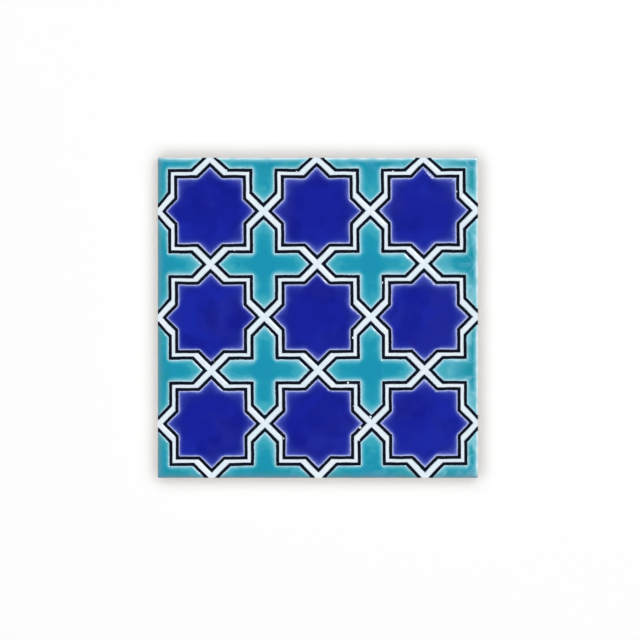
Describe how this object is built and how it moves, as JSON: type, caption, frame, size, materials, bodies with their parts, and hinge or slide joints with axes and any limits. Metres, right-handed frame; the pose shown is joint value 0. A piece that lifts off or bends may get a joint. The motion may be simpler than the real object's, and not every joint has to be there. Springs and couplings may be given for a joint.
{
  "type": "haft rang tile",
  "caption": "Square glazed wall tile with a star and cross pattern in low relief: cobalt stars, turquoise crosses and a white strap between sunk black lines, on a keyed biscuit back.",
  "frame": {"origin": "middle of the keyed back, in the plane of its ribs, which the tile lies on", "axes": "+Z out of the glazed face; +X and +Y along the tile's sides, with +Y up the picture"},
  "size_m": [0.2, 0.2, 0.01],
  "materials": {
    "glazed_tile": "gloss"
  },
  "bodies": {
    "root": {"haft_rang_tile": "glazed_tile"}
  },
  "joints": []
}
